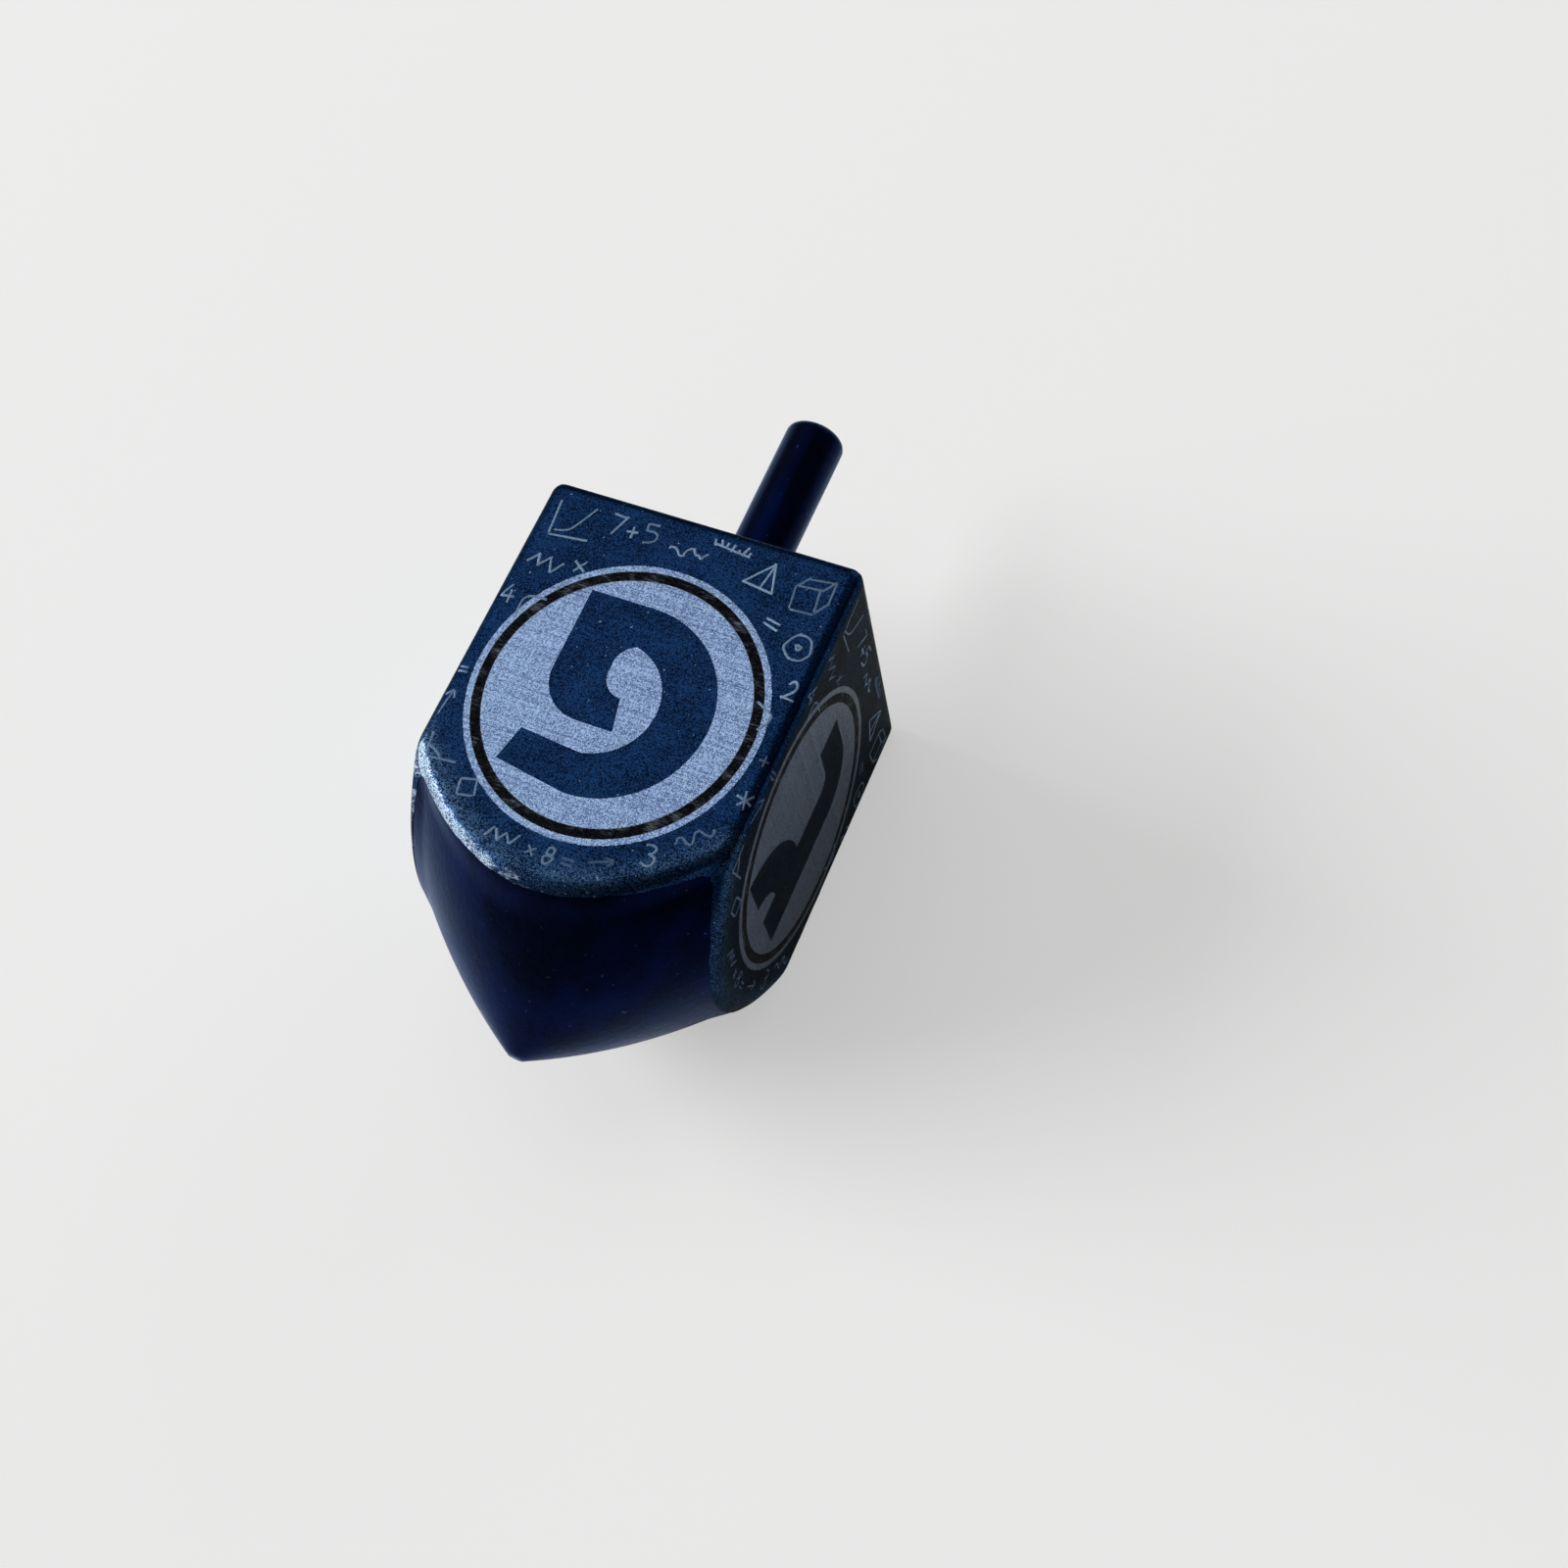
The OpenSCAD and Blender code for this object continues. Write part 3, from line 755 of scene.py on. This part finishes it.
chalkShape = {
    "halfStroke": 0.095 * mm,
    "widths": (0.7, 1.15),      # thinnest and thickest part of a stroke
    "raised": 0.2,              # height of a stroke, as a share of its half width
    "shake": 0.028,
    "sway": 3,                  # degrees that a figure may turn
    "faintest": 0.25,
    "rubbedFrom": 20,           # millimetres below the top face, past which figures are rubbed fainter
    "rubbedShare": 0.6,
    "seed": 11,
}


def layStroke(curve, points, rng):
    if len(points) == 2:
        points = [points[0], tuple((a + b) / 2 for a, b in zip(*points)), points[1]]
    spline = curve.splines.new("NURBS")
    spline.points.add(len(points) - 1)
    for spot, (x, y) in zip(spline.points, points):
        spot.co = (x, y, 0, 1)
        spot.radius = rng.uniform(*chalkShape["widths"])
    spline.order_u = 3
    spline.use_endpoint_u = True


def drawChalk(index):
    rng = random.Random(chalkShape["seed"] + index)
    curve = bpy.data.curves.new("chalkStrokes", "CURVE")
    curve.dimensions = "3D"
    curve.bevel_depth = chalkShape["halfStroke"]
    curve.bevel_resolution = 1
    curve.resolution_u = 5
    curve.use_fill_caps = True
    for figure, right, below, size, turn in chalkLayout:
        swing = math.radians(turn + rng.uniform(-chalkShape["sway"], chalkShape["sway"]))
        for stroke in doodles[figure]:
            points = []
            for x, y in stroke:
                x += rng.gauss(0, chalkShape["shake"])
                y += rng.gauss(0, chalkShape["shake"])
                points.append(((right + size * (x * math.cos(swing) - y * math.sin(swing))) * mm,
                               topY + (size * (x * math.sin(swing) + y * math.cos(swing)) - below) * mm))
            layStroke(curve, points, rng)
    return curve


def makeChalk(index):
    drawn = bpy.data.objects.new("chalkStrokes", drawChalk(index))
    bpy.context.scene.collection.objects.link(drawn)
    bpy.context.view_layer.update()
    drawnNow = drawn.evaluated_get(bpy.context.evaluated_depsgraph_get())
    flat = bpy.data.meshes.new_from_object(drawnNow)
    bpy.data.objects.remove(drawn)
    rng = random.Random(chalkShape["seed"] * 3 + index)
    marks = []
    for figure, right, below, size, turn in chalkLayout:
        force = rng.uniform(chalkShape["faintest"], 1)
        if below > chalkShape["rubbedFrom"]:
            force *= chalkShape["rubbedShare"]
        marks.append((Vector((right * mm, topY - below * mm)), force))
    shape = bmesh.new()
    shape.from_mesh(flat)
    pressed = shape.verts.layers.float.new("pressed")
    for vert in shape.verts:
        u, y, height = vert.co
        vert[pressed] = min(((spot - vert.co.xy).length, force) for spot, force in marks)[1]
        angle = index * math.pi / 2 + math.atan2(u, faceOut)
        vert.co = bodyPoint(angle, min(y, foilTopY), foilThickness + height * chalkShape["raised"])
    closeShell(shape)
    finishPiece(shape, sideNames[index] + "ChalkDoodles", chalkLine)


def dressRoundel(side):
    looks = {"border": silverRim, "ring": blackInk, "disc": silverFoil, "letter": blueFoil}
    for area, material in looks.items():
        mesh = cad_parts[side + "_" + area].data
        mesh.materials.clear()
        mesh.materials.append(material)


makeBlock()
makeHandle()
for index, side in enumerate(sideNames):
    makeFoil(index)
    makeChalk(index)
    dressRoundel(side)
print("pieces made")


# floor, light and camera
stageLook = {
    "size": 8.0,
    "drop": 0.06 * mm,          # keeps the floor clear of the doodles under the block
    "floor": tone(250, 250, 249),
    "floorRoughness": 0.9,
    "floorShine": 0.1,
    "room": tone(62, 63, 65),   # light from all round
    "pale": tone(194, 195, 196),
    "floorSeen": 0.5,           # how white the floor is to the camera, and in reflections
    "floorMirrored": 0.015,
    "roomSeen": 1.0,
    "roomMirrored": 0.02,
}


# share of the pale background that camera rays see, and that metal mirrors
def paleShare(tree, seen, mirrored):
    rays = addNode(tree, "ShaderNodeLightPath")
    bounced = joinMath(tree, "MAXIMUM", rays.outputs["Is Glossy Ray"], rays.outputs["Is Transmission Ray"])
    return joinMath(tree, "MAXIMUM", joinMath(tree, "MULTIPLY", rays.outputs["Is Camera Ray"], seen),
                    joinMath(tree, "MULTIPLY", bounced, mirrored))


def makeFloor():
    shape = bmesh.new()
    bmesh.ops.create_grid(shape, x_segments=1, y_segments=1, size=stageLook["size"] / 2)
    bmesh.ops.translate(shape, verts=shape.verts[:], vec=(0, 0, -stageLook["drop"]))
    mesh = bpy.data.meshes.new("floor")
    shape.to_mesh(mesh)
    shape.free()
    material, tree, shader = newMaterial("paleFloor", {
        "Base Color": stageLook["floor"],
        "Roughness": stageLook["floorRoughness"],
        "Specular IOR Level": stageLook["floorShine"]})
    white = addNode(tree, "ShaderNodeEmission", {"Color": stageLook["floor"], "Strength": 1.0})
    both = addNode(tree, "ShaderNodeMixShader")
    tree.links.new(paleShare(tree, stageLook["floorSeen"], stageLook["floorMirrored"]), both.inputs[0])
    tree.links.new(shader.outputs[0], both.inputs[1])
    tree.links.new(white.outputs[0], both.inputs[2])
    tree.links.new(both.outputs[0], tree.nodes["Material Output"].inputs["Surface"])
    mesh.materials.append(material)
    floor = bpy.data.objects.new("floor", mesh)
    bpy.context.scene.collection.objects.link(floor)


def makeWorld():
    world = bpy.data.worlds.new("room")
    world.use_nodes = True
    tree = world.node_tree
    share = paleShare(tree, stageLook["roomSeen"], stageLook["roomMirrored"])
    colour = mixTone(tree, share, stageLook["room"], stageLook["pale"])
    tree.links.new(colour, tree.nodes["Background"].inputs["Color"])
    bpy.context.scene.world = world


lamps = {
    "windowLight": {"toward": (-0.9, -0.2, 0.38), "away": 3.0, "size": 2.0, "watts": 122.0},
    "backLight": {"toward": (0.3, 0.9, 0.32), "away": 1.3, "size": 0.9, "watts": 2.5},
    "ceilingLight": {"toward": (-0.36, 0.34, 0.86), "away": 1.3, "size": 1.2, "watts": 4.0},
}


def makeLamps():
    aim = Vector((0, (topY + tipY) / 2, axisHeight))
    for name, lamp in lamps.items():
        light = bpy.data.lights.new(name, "AREA")
        light.shape = "SQUARE"
        light.size = lamp["size"]
        light.energy = lamp["watts"]
        holder = bpy.data.objects.new(name, light)
        toward = Vector(lamp["toward"]).normalized()
        holder.location = aim + toward * lamp["away"]
        holder.rotation_euler = (-toward).to_track_quat("-Z", "Y").to_euler()
        bpy.context.scene.collection.objects.link(holder)


cameraLook = {
    "place": Vector((51.3, -51.9, 143.85)) * mm,
    "lookAt": Vector((9.92, -1.76, 12.75)) * mm,
    "roll": -18.05,     # degrees
    "lens": 44.2,       # millimetres, as the sensor's width
    "sensor": 36,
    "nearest": 5 * mm,
}


def makeCamera():
    lens = bpy.data.cameras.new("photoView")
    lens.lens = cameraLook["lens"]
    lens.sensor_width = cameraLook["sensor"]
    lens.clip_start = cameraLook["nearest"]
    holder = bpy.data.objects.new("photoView", lens)
    aim = (cameraLook["lookAt"] - cameraLook["place"]).to_track_quat("-Z", "Y")
    holder.rotation_mode = "QUATERNION"
    holder.rotation_quaternion = aim @ Quaternion((0, 0, 1), math.radians(cameraLook["roll"]))
    holder.location = cameraLook["place"]
    bpy.context.scene.collection.objects.link(holder)
    bpy.context.scene.camera = holder


makeFloor()
makeWorld()
makeLamps()
makeCamera()
bpy.context.scene.view_settings.view_transform = "Standard"
print("stage set")
